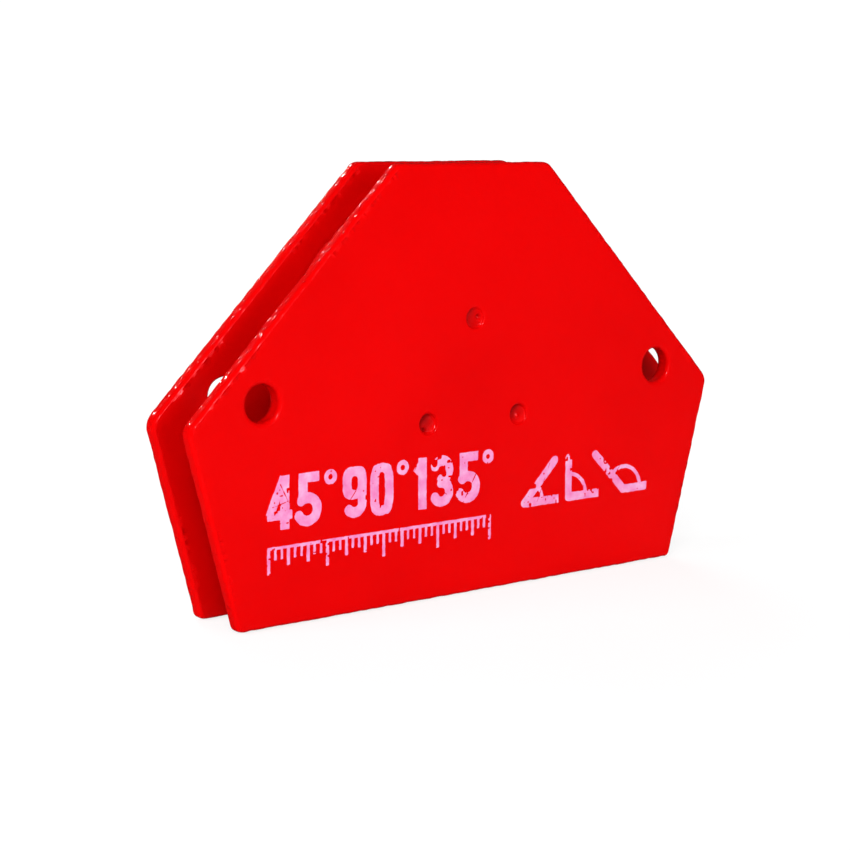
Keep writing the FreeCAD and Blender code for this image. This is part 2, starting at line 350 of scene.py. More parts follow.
def fill_face(loops, openings, seed):
    """Triangles between an outer loop and round inner loops, over a fine grid.
    openings: (x, z, radius). Returns the grid, and triangles that number the
    loops' points first and the grid's after them."""
    edges, start = [], 0
    for loop in loops:
        n = len(loop)
        edges += [(start + i, start + (i + 1) % n) for i in range(n)]
        start += n
    grid = face_grid(loops[0], openings, seed)
    plan = np.concatenate([*loops, grid])
    out_points, _, out_faces, origins, _, _ = delaunay_2d_cdt(
        [Vector(p) for p in plan], edges, [], 0, 1e-7)
    if len(out_points) != len(plan):
        raise RuntimeError("the face's points moved while it was filled")
    faces = np.array([list(face) for face in out_faces])

    # drop triangles across the openings and outside the outline
    middle = np.array([[p.x, p.y] for p in out_points])[faces].mean(1)
    keep = np.ones(len(faces), bool)
    edge = np.nonzero(outline_distance(middle[:, 0], middle[:, 1]) <= 2.5)[0]
    keep[edge] = in_polygon(middle[edge], loops[0])
    for cx, cz, radius in openings:
        inner = radius * math.cos(math.pi / SEAT_COUNT) - 1e-6
        keep &= np.hypot(middle[:, 0] - cx, middle[:, 1] - cz) > inner

    # back to the caller's numbering, all wound the same way
    faces = np.array([origin[0] for origin in origins])[faces[keep]]
    a, b, c = (plan[faces[:, k]] for k in range(3))
    area = (b[:, 0] - a[:, 0]) * (c[:, 1] - a[:, 1]) - (b[:, 1] - a[:, 1]) * (c[:, 0] - a[:, 0])
    flip = area < 0
    faces[flip] = faces[flip][:, ::-1]
    return grid, faces


class PlateShell:
    """Growing plate mesh. Points are x, depth from the outer face, z."""

    def __init__(self):
        self.points = []
        self.faces = []

    def loop(self, plan, depth):
        start = len(self.points)
        self.points += [(x, depth, z) for x, z in plan]
        return list(range(start, len(self.points)))

    def bore(self, centre, profile, count):
        """Round opening from (radius, depth) pairs. Returns its first and last loops,
        each with its circle (x, z, radius)."""
        loops = [self.loop(circle(centre, radius, count), depth) for radius, depth in profile]
        self.faces += [tuple(reversed(face)) for face in skin(loops)]
        return [(loops[k], (*centre, profile[k][0])) for k in (0, -1)]

    def cap(self, rim, openings, depth, seed, flip):
        """Fill one flat face between the rim and the openings."""
        loops = [rim] + [loop for loop, _ in openings]
        plan = np.array(self.points)[:, [0, 2]]
        grid, faces = fill_face([plan[loop] for loop in loops], [c for _, c in openings], seed)
        faces = np.concatenate([*loops, self.loop(grid, depth)])[faces]
        if flip:
            faces = faces[:, ::-1]
        self.faces += [tuple(face) for face in faces.tolist()]


def edge_profile():
    """(inset, depth) of the plate's edge: rounding, slightly crowned wall, rounding."""
    rounding = quarter_round(EDGE_R, EDGE_R, 7)
    rows = rounding + [(0.0, depth) for depth in between(EDGE_R, THICK - EDGE_R, 8)]
    rows += [(inset, THICK - depth) for inset, depth in reversed(rounding)]
    crowned = []
    for inset, depth in rows:
        off = 2 * depth / THICK - 1
        crowned.append((inset + CROWN * off ** 2 * (1 - off ** 8), depth))
    return crowned


def hole_profile():
    """(radius, depth) of a through hole: lip, wall, lip."""
    rows = [(HOLE_R + out, depth) for out, depth in quarter_round(LIP_OUT, LIP_OUT_DEPTH, 9)]
    rows += [(HOLE_R, depth) for depth in between(LIP_OUT_DEPTH, THICK - LIP_IN_DEPTH, 7)]
    inner_lip = quarter_round(LIP_IN, LIP_IN_DEPTH, 6)
    return rows + [(HOLE_R + out, THICK - depth) for out, depth in reversed(inner_lip)]


def seat_radius(depth):
    """Radius of a rivet's countersink at a depth below the outer face."""
    return SHANK_R + FLARE * np.maximum(0.0, 1 - depth / SINK)


def seat_profile():
    """(radius, depth) of a rivet seat: soft mouth, cone, straight bore."""
    rows = [(MOUTH_R + 0.26, 0.0), (MOUTH_R + 0.18, 0.010),
            (MOUTH_R + 0.10, 0.035), (MOUTH_R + 0.03, 0.080)]
    rows += [(seat_radius(depth), depth) for depth in (0.15, 0.23, 0.32, 0.43, 0.54, 0.65, 0.78)]
    rows += [(SHANK_R, depth) for depth in (SINK, *between(SINK, THICK, 5), THICK)]
    return rows


def build_plate(name, node, seed, material):
    """A blanked plate with soft painted edges, lips round its holes and sunk rivet seats."""
    outline, out = plate_outline(OUTLINE_STEP)
    shell = PlateShell()
    rim = [shell.loop(outline - out * inset, depth) for inset, depth in edge_profile()]
    shell.faces += skin(rim)
    openings = [shell.bore(centre, hole_profile(), HOLE_COUNT) for centre in HOLES]
    openings += [shell.bore(centre, seat_profile(), SEAT_COUNT) for centre in RIVETS.values()]
    shell.cap(rim[0], [pair[0] for pair in openings], 0.0, seed, flip=False)
    shell.cap(rim[-1], [pair[1] for pair in openings], THICK, seed, flip=True)

    # paint relief, along the surface's own normals; the rivet bores stay true
    points = np.array(shell.points)
    x, y, z = points.T
    height = plate_relief(x, y, z, seed)
    for cx, cz in RIVETS.values():
        height[np.hypot(x - cx, z - cz) < SHANK_R + 0.02] = 0.0
    points = points + outward_normals(points, shell.faces) * height[:, None]

    points[:, 1] += Y_OUT
    if node == "rear_plate":
        # the front plate turned half round the vertical axis
        points[:, :2] *= -1
    finish(make_object(name, points, shell.faces), material, node)


# ------------------------------------------------------------ turned pieces
def closed_profile(stations):
    """(radius, y) points round a closed section, from (radius, y, steps to the next)."""
    profile = []
    for k, (radius, y, steps) in enumerate(stations):
        next_radius, next_y, _ = stations[(k + 1) % len(stations)]
        for i in range(steps):
            profile.append((radius + (next_radius - radius) * i / steps,
                            y + (next_y - y) * i / steps))
    return profile


def revolve(profile, centre, count):
    """Points and faces of a closed section turned about an axis along y."""
    points, loops = [], []
    for k, (radius, y) in enumerate(profile):
        points += [(x, y, z) for x, z in circle(centre, radius, count)]
        loops.append(list(range(k * count, (k + 1) * count)))
    return np.array(points), skin(loops + loops[:1])


def chip_ring(points):
    """Wavy rim and bore, with chips out of the four corners."""
    x, y, z = points[:, 0], points[:, 1], points[:, 2] - RING_Z
    r = np.hypot(x, z)
    rim = np.abs(r - RING_R) < RING_CHAMFER * 1.05
    bore = np.abs(r - RING_BORE_R) < RING_CHAMFER * 1.05
    corner = (rim | bore) & (np.abs(np.abs(y) - HALF_GAP) < RING_CHAMFER * 1.6)
    chips = np.clip(noise3(x, y * 0.4, z, 1.7, 301) - 0.28, 0, 1) * 0.55
    wave = 0.020 * noise3(x, y, z, 2.4, 302) - 0.035
    change = np.where(rim, wave, np.where(bore, -wave, 0.0))
    change = change + np.where(corner, np.where(rim, -chips, chips), 0.0)
    scale = (r + change) / r
    y = y - np.sign(y) * np.where(corner, chips * 0.5, 0.0)
    return np.stack([x * scale, y, z * scale + RING_Z], 1)


def build_ring(material):
    outer, inner, chamfer, half = RING_R, RING_BORE_R, RING_CHAMFER, HALF_GAP
    # radius, y, steps to the next station
    profile = closed_profile([
        (inner + chamfer, -half, 12), (outer - chamfer, -half, 3),
        (outer, -half + chamfer, 14), (outer, half - chamfer, 3),
        (outer - chamfer, half, 12), (inner + chamfer, half, 3),
        (inner, half - chamfer, 10), (inner, -half + chamfer, 3),
    ])
    points, faces = revolve(profile, (0.0, RING_Z), RING_COUNT)
    obj = make_object("ferrite_ring", chip_ring(points), faces)
    finish(obj, material, "ring_magnet")


def build_spacer(spot, material):
    outer, inner, chamfer, half = TUBE_R, TUBE_BORE_R, TUBE_CHAMFER, HALF_GAP
    nick = chamfer * 0.3    # middle point of each softened corner
    # radius, y, steps to the next station
    profile = closed_profile([
        (inner + chamfer, -half, 1), (outer - chamfer, -half, 1),
        (outer - nick, -half + nick, 1), (outer, -half + chamfer, 12),
        (outer, half - chamfer, 1), (outer - nick, half - nick, 1),
        (outer - chamfer, half, 1), (inner + chamfer, half, 1),
        (inner + nick, half - nick, 1), (inner, half - chamfer, 8),
        (inner, -half + chamfer, 1), (inner + nick, -half + nick, 1),
    ])
    obj = make_object("tube_" + spot, *revolve(profile, RIVETS[spot], TUBE_COUNT))
    finish(obj, material, "spacer_" + spot)


# How the painted end of each rivet lies in its seat. rim and swing: depth where it meets the
# seat's wall and how much that varies round the axis; way: the deep side, in degrees; floor:
# depth across the end as a + b s + c s^2, with s from -1 on the shallow side to 1 on the deep
# side; pits: (x, z, radius, depth), with a negative depth for a bump.
SEATS = {
    "upper": dict(rim=0.45, swing=0.33, way=168.0, floor=(0.50, 0.24, 0.03),
                  pits=[(0.80, 0.20, 0.26, 0.36), (0.95, -0.52, 0.24, -0.16)]),
    "lower_left": dict(rim=0.44, swing=0.38, way=142.0, floor=(0.62, 0.385, -0.155),
                       pits=[(-0.42, -0.98, 0.28, 0.34)]),
    "lower_right": dict(rim=0.43, swing=0.38, way=134.0, floor=(0.55, 0.385, -0.085),
                        pits=[(0.05, -0.28, 0.24, -0.13)]),
    "rear": dict(rim=0.50, swing=0.16, way=60.0, floor=(0.58, 0.10, -0.05),
                 pits=[(0.0, 0.0, 0.45, -0.10)]),
}


def rivet_end(seat, seed):
    """Rings of (radius, depth) from the middle out to the seat's wall and down to the neck."""
    angle = np.arange(RIVET_COUNT) * 2 * math.pi / RIVET_COUNT
    lean = np.cos(angle - math.radians(seat["way"]))
    rim = np.maximum(0.08, seat["rim"] + seat["swing"] * lean)
    edge = seat_radius(rim) + RIVET_GAP
    level, slope, curve = seat["floor"]
    rings = []
    for part in np.linspace(0.0, 1.0, 19)[1:]:
        radius = edge * part
        x, z = radius * np.cos(angle), radius * np.sin(angle)
        keep = 1 - smooth((part - 0.80) / 0.20)
        s = part * lean
        floor = level + slope * s + curve * s * s
        bump = 0.030 * noise3(x, 5, z, 0.85, seed) + 0.014 * noise3(x, 5, z, 0.42, seed + 1)
        for px, pz, size, depth in seat["pits"]:
            bump = bump + depth * np.exp(-((x - px) ** 2 + (z - pz) ** 2) / (size * size))
        rings.append((radius, floor * keep + rim * (1 - keep) + keep * bump))
    for k in range(1, 5):
        depth = rim + (SINK - NECK_DROP - rim) * k / 4
        rings.append((seat_radius(depth) - RIVET_GAP, depth))
    return rings


def build_rivet(spot, seed, material):
    """Plain rivet. Its ends lie in the countersinks, under paint that has run to one side."""
    centre, n = RIVETS[spot], RIVET_COUNT
    neck = FACE - SINK - NECK_DROP
    rings = [(radius, depth - FACE) for radius, depth in rivet_end(SEATS[spot], seed)]
    rings += [(SHANK_R - 0.01, np.full(n, -neck + 2 * neck * i / 16)) for i in range(17)]
    rings += [(radius, FACE - depth)
              for radius, depth in reversed(rivet_end(SEATS["rear"], seed + 3))]

    def tip(y):
        return np.array([[centre[0], float(np.mean(y)), centre[1]]])

    points = [tip(rings[0][1])]
    for radius, y in rings:
        x, z = circle(centre, radius, n).T
        points.append(np.stack([x, y, z], 1))
    points = np.concatenate(points + [tip(rings[-1][1])])

    loops = [list(range(1 + k * n, 1 + (k + 1) * n)) for k in range(len(rings))]
    first, last, end = loops[0], loops[-1], len(points) - 1
    faces = [(0, first[(j + 1) % n], first[j]) for j in range(n)]
    faces += skin(loops)
    faces += [(last[j], last[(j + 1) % n], end) for j in range(n)]
    obj = make_object("pin_" + spot, points, faces)
    finish(obj, material, "rivet_" + spot)


# ------------------------------------------------------------- printed shapes
# Each gives the signed distance to a shape in the x, z plane, negative inside.
def union(*shapes):
    return np.minimum.reduce(shapes)


def line_distance(x, z, start, end):
    """Distance to a straight line between two points."""
    dx, dz = end[0] - start[0], end[1] - start[1]
    t = np.clip(((x - start[0]) * dx + (z - start[1]) * dz) / (dx * dx + dz * dz), 0, 1)
    return np.hypot(x - start[0] - t * dx, z - start[1] - t * dz)


def bar(x, z, start, end, width):
    """Straight bar with square ends."""
    dx, dz = end[0] - start[0], end[1] - start[1]
    length = math.hypot(dx, dz)
    ux, uz = dx / length, dz / length
    x, z = x - (start[0] + end[0]) / 2, z - (start[1] + end[1]) / 2
    along = np.abs(x * ux + z * uz) - length / 2
    across = np.abs(-x * uz + z * ux) - width / 2
    outside = np.hypot(np.maximum(along, 0), np.maximum(across, 0))
    return outside + np.minimum(np.maximum(along, across), 0)


def arc(x, z, centre, radius, start, end, width):
    """Round-ended arc band, angles in degrees."""
    cx, cz = centre
    angle = np.degrees(np.arctan2(z - cz, x - cx))
    off = np.abs((angle - (start + end) / 2 + 180) % 360 - 180)
    band = np.abs(np.hypot(x - cx, z - cz) - radius) - width / 2
    ends = []
    for degrees in (start, end):
        ex = cx + radius * math.cos(math.radians(degrees))
        ez = cz + radius * math.sin(math.radians(degrees))
        ends.append(np.hypot(x - ex, z - ez) - width / 2)
    return np.where(off <= (end - start) / 2, band, np.minimum(*ends))


def bowl(x, z, centre, rx, rz, side, crest):
    """Rounded-rectangle ring, near enough. side, crest: band width at the sides and at
    the top and bottom."""
    def size(half_x, half_z, power=3.2):
        return (np.abs((x - centre[0]) / half_x) ** power
                + np.abs((z - centre[1]) / half_z) ** power) ** (1 / power) - 1

    ix, iz = rx - side, rz - crest
    return np.maximum(size(rx, rz) * min(rx, rz), -size(ix, iz) * min(ix, iz))


def digit(sign, x, z, w, h, b):
    """Plain bold numeral or degree sign ("o") with its lower left corner at 0, 0.
    w, h: width and height; b: stroke width."""
    if sign == "0":
        return bowl(x, z, (w / 2, h / 2), w / 2, h / 2, side=b, crest=b * 0.92)
    if sign == "1":
        stem = bar(x, z, (w * 0.58, 0), (w * 0.58, h), b)
        flag = bar(x, z, (w * 0.12, h - b * 1.45), (w * 0.58, h - b * 0.45), b * 0.86)
        return union(stem, np.maximum(flag, z - h))
    if sign == "3":
        r = h * 0.285
        upper = arc(x, z, (w * 0.44, h - r), r - b / 2, -95, 150, b)
        lower = arc(x, z, (w * 0.44, r), r - b / 2, -150, 95, b)
        middle = bar(x, z, (w * 0.30, h / 2), (w * 0.52, h / 2), b * 0.8)
        return union(upper, lower, middle)
    if sign == "4":
        stem = bar(x, z, (w * 0.70, 0), (w * 0.70, h), b)
        cross = bar(x, z, (0, h * 0.27), (w, h * 0.27), b * 0.86)
        slant = bar(x, z, (w * 0.09, h * 0.27), (w * 0.66, h - b * 0.25), b * 0.90)
        return union(stem, cross, np.maximum(slant, z - h))
    if sign == "5":
        top = bar(x, z, (w * 0.10, h - b * 0.46), (w * 0.94, h - b * 0.46), b * 0.92)
        left = w * 0.10 + b / 2
        stem = bar(x, z, (left, h * 0.50), (left, h - b * 0.1), b)
        r = h * 0.315
        return union(top, stem, arc(x, z, (w * 0.46, r), r - b / 2, -150, 128, b))
    if sign == "9":
        r = h * 0.31
        head = bowl(x, z, (w / 2, h - r), w / 2, r, side=b, crest=b * 0.9)
        tail = arc(x, z, (w / 2, r * 0.98), w / 2 - b / 2, -140, 0, b)
        stem = bar(x, z, (w - b / 2, r * 0.98), (w - b / 2, h - r), b)
        return union(head, tail, stem)
    if sign == "o":
        r = b * 0.62
        return np.abs(np.hypot(x - r * 1.1, z - (h - r * 1.1)) - r * 0.78) - b * 0.23
    raise ValueError(sign)


# ------------------------------------------------------------- printed marks
PRINT_LEFT = -35.65                         # left end of the numerals and of the scale
TEXT_Z, TEXT_HEIGHT, TEXT_STROKE, WORD_GAP = 13.4, 7.4, 1.48, 1.10
SIGN_SPACE = {"1": (2.55, 0.60), "o": (1.95, 0.0)}     # width, gap after it
DIGIT_SPACE = (4.05, 0.62)
SCALE_RIGHT, SCALE_Z, SCALE_LINE, TICKS = 3.25, 11.0, 0.42, 36
MARKS_LEFT, MARKS_Z, MARK_HEIGHT, MARK_STROKE, MARK_GAP = 9.05, 11.4, 7.2, 1.30, 1.30
MARKS = ((45, 7.4, 0.0), (90, 6.8, 0.0), (135, 8.8, 3.2))   # degrees, width, corner's x
# fine scratches: x, z of one end, x, z of the other, width
SCRATCHES = (
    (-33.5, 19.6, -31.2, 15.2, 0.10), (-13.8, 14.2, -10.4, 19.8, 0.09),
    (-24.6, 13.0, -21.0, 17.4, 0.08), (-2.4, 12.8, 1.4, 19.2, 0.10),
    (12.2, 12.0, 14.6, 17.6, 0.08), (26.0, 11.8, 29.4, 16.4, 0.09),
    (-34.8, 16.6, -31.0, 17.5, 0.07), (-7.6, 16.8, -5.0, 15.1, 0.08),
)
# cells the ink is cut from
CELL = 0.11
CELLS_X, CELLS_Z = (-37.2, 37.6), (6.4, 22.4)
LEAST_TRIANGLES = 24                        # smaller specks of ink are dropped
INK_ABOVE, INK_BELOW = 0.018, 0.030         # the ink's two sides, from the painted face


def angle_values(x, z):
    shapes = []
    left = PRINT_LEFT
    for word in ("45o", "90o", "135o"):
        for sign in word:
            width, gap = SIGN_SPACE.get(sign, DIGIT_SPACE)
            shapes.append(digit(sign, x - left, z - TEXT_Z, width, TEXT_HEIGHT, TEXT_STROKE))
            left += width + gap
        left += WORD_GAP
    return union(*shapes)


def tick_scale(x, z):
    """Base line with ticks hanging from it: wider at each third, longest at each ninth."""
    shapes = [bar(x, z, (PRINT_LEFT, SCALE_Z), (SCALE_RIGHT, SCALE_Z), SCALE_LINE)]
    for i in range(TICKS + 1):
        tick_x = PRINT_LEFT + 0.2 + (SCALE_RIGHT - PRINT_LEFT - 0.4) * i / TICKS
        length = 3.5 if i % 9 == 0 else (2.5 if i % 3 == 0 else 1.6)
        width = 0.40 if i % 3 else 0.5
        shapes.append(bar(x, z, (tick_x, SCALE_Z), (tick_x, SCALE_Z - length), width))
    return union(*shapes)


def angle_marks(x, z):
    """Three marks: a base arm, a second arm at the angle, and an arc between them."""
    shapes = []
    left = MARKS_LEFT
    for degrees, width, start in MARKS:
        angle = math.radians(degrees)
        corner = (left + start + MARK_STROKE / 2, MARKS_Z + MARK_STROKE / 2)
        arm = (MARK_HEIGHT - MARK_STROKE) / math.sin(angle)
        tip = (corner[0] + arm * math.cos(angle), corner[1] + arm * math.sin(angle))
        shapes += [
            bar(x, z, corner, (left + width, corner[1]), MARK_STROKE),
            line_distance(x, z, corner, tip) - MARK_STROKE / 2,
            arc(x, z, corner, 3.5, 4, degrees - 4, 0.62),
        ]
        left += width + MARK_GAP
    return union(*shapes)


def worn_print(x, z):
    """Signed distance to the ink, with ragged edges and wear."""
    def noise(wavelength, seed):
        return noise3(x, 0, z, wavelength, seed)

    d = union(angle_values(x, z), tick_scale(x, z), angle_marks(x, z))
    d = d + 0.040 * noise(0.55, 501) + 0.022 * noise(0.25, 502) + 0.01
    pinholes = noise(0.42, 503) + 0.35 * noise(3.0, 504)
    d = np.maximum(d, (pinholes - 0.86) * 0.8)
    rubbed = noise(0.9, 505) + 0.8 * noise(6.5, 506)
    d = np.maximum(d, (rubbed - 1.08) * 0.7)
    ragged = 0.55 + 0.6 * noise(0.7, 507)
    for ax, az, bx, bz, width in SCRATCHES:
        d = np.maximum(d, width * ragged - line_distance(x, z, (ax, az), (bx, bz)))
    return d


def cut_cells(field, xs, zs):
    """Points and triangles of the region where the field is negative."""
    points, index, triangles = [], {}, []

    def corner(a):
        if a not in index:
            index[a] = len(points)
            points.append((xs[a[0]], zs[a[1]]))
        return index[a]

    def cut(a, b):
        """Point where the field crosses zero between two grid corners."""
        if a > b:
            a, b = b, a
        if (a, b) not in index:
            t = min(0.92, max(0.08, field[a] / (field[a] - field[b])))
            index[a, b] = len(points)
            points.append((xs[a[0]] + (xs[b[0]] - xs[a[0]]) * t,
                           zs[a[1]] + (zs[b[1]] - zs[a[1]]) * t))
        return index[a, b]

    inside = field < 0
    touched = inside[:-1, :-1] | inside[1:, :-1] | inside[:-1, 1:] | inside[1:, 1:]
    for i, j in np.argwhere(touched).tolist():
        near, far = (i, j), (i + 1, j + 1)
        for triangle in ((near, (i + 1, j), far), (near, far, (i, j + 1))):
            ins = [bool(inside[a]) for a in triangle]
            count = sum(ins)
            if count == 3:
                triangles.append(tuple(corner(a) for a in triangle))
            elif count:
                # start at the corner that differs from the other two
                odd = ins.index(count == 1)
                a, b, c = (triangle[(odd + k) % 3] for k in range(3))
                if count == 1:
                    triangles.append((corner(a), cut(a, b), cut(a, c)))
                else:
                    ab, ac = cut(a, b), cut(a, c)
                    triangles.append((ab, corner(b), corner(c)))
                    triangles.append((ab, corner(c), ac))
    return points, triangles


def drop_specks(points, triangles):
    """Leave out small separate groups of triangles and the points they used."""
    parent = list(range(len(points)))

    def find(a):
        while parent[a] != a:
            parent[a] = parent[parent[a]]
            a = parent[a]
        return a

    for a, b, c in triangles:
        parent[find(b)] = find(a)
        parent[find(c)] = find(a)
    size = Counter(find(t[0]) for t in triangles)
    triangles = [t for t in triangles if size[find(t[0])] >= LEAST_TRIANGLES]
    used = sorted({a for t in triangles for a in t})
    number = {a: k for k, a in enumerate(used)}
    return np.array([points[a] for a in used]), [tuple(number[a] for a in t) for t in triangles]


def build_print(material):
    """Ink as a thin solid that follows the front plate's painted face."""
    xs, zs = (low + np.arange(int((high - low) / CELL) + 1) * CELL
              for low, high in (CELLS_X, CELLS_Z))
    field = worn_print(*np.meshgrid(xs, zs, indexing="ij"))
    field = np.where(np.abs(field) < 1e-4, 1e-4, field)
    flat, triangles = drop_specks(*cut_cells(field, xs, zs))
    x, z = flat.T
    n = len(flat)
    surface = Y_OUT - face_relief(x, z, FRONT_SEED)
    points = np.concatenate([np.stack([x, surface - INK_ABOVE, z], 1),
                             np.stack([x, surface + INK_BELOW, z], 1)])
    edges = [e for a, b, c in triangles for e in ((a, b), (b, c), (c, a))]
    known = set(edges)
    faces = triangles + [(c + n, b + n, a + n) for a, b, c in triangles]
    faces += [(b, a, a + n, b + n) for a, b in edges if (b, a) not in known]
    obj = make_object("angle_marks", points, faces, smooth_shading=False)
    finish(obj, material)


# ------------------------------------------------------------------ node tools
class NodeTree:
    """Shader nodes of a material or a world."""

    def __init__(self, owner):
        owner.use_nodes = True
        self.tree = owner.node_tree
        self.tree.nodes.clear()

    def add(self, kind, **values):
        node = self.tree.nodes.new(kind)
        for key, value in values.items():
            setattr(node, key, value)
        return node

    def link(self, a, b):
        self.tree.links.new(a, b)

    def put(self, socket, value):
        """Link a socket to an input, or set the input's value."""
        if isinstance(value, bpy.types.NodeSocket):
            self.link(value, socket)
        else:
            socket.default_value = value

    def feed(self, node, **values):
        """Fill inputs by name, with _ for a space."""
        for key, value in values.items():
            self.put(node.inputs[key.replace("_", " ")], value)

    def mix_shaders(self, amount, first, second):
        node = self.add("ShaderNodeMixShader")
        for k, socket in enumerate((amount, first, second)):
            self.link(socket, node.inputs[k])
        return node.outputs[0]


class Surface(NodeTree):
    """A material with a principled shader and textures in object space."""

    def __init__(self, name):
        self.material = bpy.data.materials.new(name)
        super().__init__(self.material)
        self.out = self.add("ShaderNodeOutputMaterial")
        self.bsdf = self.add("ShaderNodeBsdfPrincipled")
        self.link(self.bsdf.outputs[0], self.out.inputs["Surface"])
        self.coord = self.add("ShaderNodeTexCoord").outputs["Object"]

    def noise(self, per_mm, detail=3.0, rough=0.5, stretch=None, offset=(0, 0, 0)):
        """Noise with so many features per millimetre; offset in metres."""
        vector = self.coord
        if stretch or any(offset):
            mapping = self.add("ShaderNodeMapping")
            self.feed(mapping, Scale=stretch or (1, 1, 1), Location=offset, Vector=vector)
            vector = mapping.outputs[0]
        node = self.add("ShaderNodeTexNoise")
        self.feed(node, Scale=per_mm * 1000, Detail=detail, Roughness=rough, Vector=vector)
        return node.outputs["Fac"]

    def ramp(self, value, stops):
        """Colours by (position, colour)."""
        node = self.add("ShaderNodeValToRGB")
        elements = node.color_ramp.elements
        while len(elements) > 1:
            elements.remove(elements[-1])
        for i, (position, colour) in enumerate(stops):
            element = elements[0] if i == 0 else elements.new(position)
            element.position = position
            element.color = (*colour, 1.0)
        self.feed(node, Fac=value)
        return node.outputs["Color"]

    def calc(self, operation, *values):
        node = self.add("ShaderNodeMath", operation=operation)
        for socket, value in zip(node.inputs, values):
            self.put(socket, value)
        return node.outputs[0]

    def hypot(self, a, b):
        squares = [self.calc("POWER", side, 2.0) for side in (a, b)]
        return self.calc("SQRT", self.calc("ADD", *squares))

    def mix(self, a, b, amount):
        """Colour a turned into the plain colour b by an amount."""
        node = self.add("ShaderNodeMix", data_type="RGBA")
        for name, value in (("Factor", amount), ("A", a), ("B", (*b, 1.0))):
            self.put([s for s in node.inputs if s.name == name and s.enabled][0], value)
        return [s for s in node.outputs if s.enabled][0]

    def remap(self, value, span, to=(0.0, 1.0)):
        node = self.add("ShaderNodeMapRange")
        self.feed(node, From_Min=span[0], From_Max=span[1], To_Min=to[0], To_Max=to[1],
                  Value=value)
        return node.outputs["Result"]

    def bump(self, height, distance_mm, strength, normal=None):
        node = self.add("ShaderNodeBump")
        self.feed(node, Strength=strength, Distance=distance_mm * MM, Height=height)
        if normal is not None:
            self.feed(node, Normal=normal)
        return node.outputs["Normal"]

    def split(self, vector):
        """The x, y, z outputs of a vector."""
        node = self.add("ShaderNodeSeparateXYZ")
        self.link(vector, node.inputs[0])
        return node.outputs


# ------------------------------------------------------------------ materials
def painted_recess_shade(m):
    """0..1 of painted shade: a dark mark deep in the rivet seats and inside the through holes,
    where shade falls.
    Left and right share one measure, through the absolute x."""
    place = m.split(m.coord)
    side = m.calc("ABSOLUTE", place["X"])
    depth = m.calc("SUBTRACT", FACE * MM, m.calc("ABSOLUTE", place["Y"]))

    def away(x, z):
        return m.hypot(m.calc("SUBTRACT", side, x * MM), m.calc("SUBTRACT", place["Z"], z * MM))

    def ramped(value, start, end, to):
        return m.remap(value, span=(start * MM, end * MM), to=to)

    seats = m.calc("MINIMUM", away(*RIVETS["upper"]), away(*RIVETS["lower_right"]))
    in_seat = m.calc("MULTIPLY", ramped(seats, 1.62, 1.80, to=(1.0, 0.0)),
                     ramped(depth, 0.28, 0.78, to=(0.0, 1.0)))
    hole = away(*HOLES[1])
    in_hole = m.calc("MULTIPLY", ramped(hole, HOLE_R + 0.04, HOLE_R + 0.26, to=(1.0, 0.0)),
                     ramped(depth, 1.5, 2.3, to=(0.0, 0.85)))
    # uneven strength of the painted shade
    shade_patches = m.remap(m.noise(per_mm=0.9, rough=0.6), span=(0.35, 0.65), to=(0.75, 1.0))
    return m.calc("MULTIPLY", m.calc("MAXIMUM", in_seat, in_hole), shade_patches)


def enamel(m, shader):
    """Give a principled shader the look of stoved red enamel."""
    cloud = m.noise(per_mm=0.045, rough=0.55)
    fine = m.noise(per_mm=0.9, detail=4.0, rough=0.6)
    base = m.ramp(cloud, [(0.30, (0.575, 0.0004, 0.0007)), (0.50, (0.610, 0.0005, 0.0008)),
                          (0.72, (0.635, 0.0006, 0.0009))])
    base = m.mix(base, (0.50, 0.0003, 0.0005),
                 amount=m.remap(fine, span=(0.35, 0.7), to=(0.0, 0.10)))
    # edges: a lighter red on the convex edges, a painted highlight where they catch light
    geometry = m.add("ShaderNodeNewGeometry")
    edge = m.remap(geometry.outputs["Pointiness"], span=(0.53, 0.60))
    base = m.mix(base, (0.68, 0.0008, 0.0011), amount=m.calc("MULTIPLY", edge, 0.35))
    # painted shade: a dark red mixed in deep in the rivet seats and inside the through holes,
    # where shade falls; the same mask makes the paint a little rougher there
    recess_shade = painted_recess_shade(m)
    base = m.mix(base, (0.150, 0.0006, 0.0008), amount=m.calc("MULTIPLY", recess_shade, 0.92))

    # fine dust and rub marks roughen it a little; the walls are glossier
    rub = m.noise(per_mm=0.35, detail=6.0, rough=0.7, stretch=(1.0, 1.0, 3.0))
    rough = m.remap(fine, span=(0.3, 0.7), to=(0.14, 0.19))
    rough = m.calc("ADD", rough, m.remap(rub, span=(0.58, 0.78), to=(0.0, 0.05)))
    rough = m.calc("ADD", rough, m.calc("MULTIPLY", recess_shade, 0.08))
    facing = m.calc("ABSOLUTE", m.split(geometry.outputs["Normal"])["Y"])
    wall = m.remap(facing, span=(0.35, 0.70), to=(1.0, 0.0))
    rough = m.calc("SUBTRACT", rough, m.calc("MULTIPLY", wall, 0.07))

    # uneven skin everywhere, and small dried beads on the walls
    peel = m.noise(per_mm=0.85, detail=2.0)
    fine_peel = m.noise(per_mm=2.6, detail=2.0, offset=(0.013, 0.007, 0.003))
    beads = m.noise(per_mm=0.95, detail=1.0, rough=0.4, offset=(0.031, 0.017, 0.011))
    beads = m.calc("MULTIPLY", m.remap(beads, span=(0.56, 0.74)), wall)
    normal = m.bump(peel, distance_mm=0.020, strength=0.9)
    normal = m.bump(fine_peel, distance_mm=0.006, strength=0.9, normal=normal)
    normal = m.bump(beads, distance_mm=0.075, strength=1.0, normal=normal)
    # the enamel's own red tints its sheen
    m.feed(shader, Base_Color=base, Roughness=rough, Normal=normal,
           Specular_IOR_Level=0.38, Specular_Tint=(1.0, 0.14, 0.16, 1.0))


def red_paint():
    m = Surface("red_stoved_paint")
    enamel(m, m.bsdf)
    return m.material


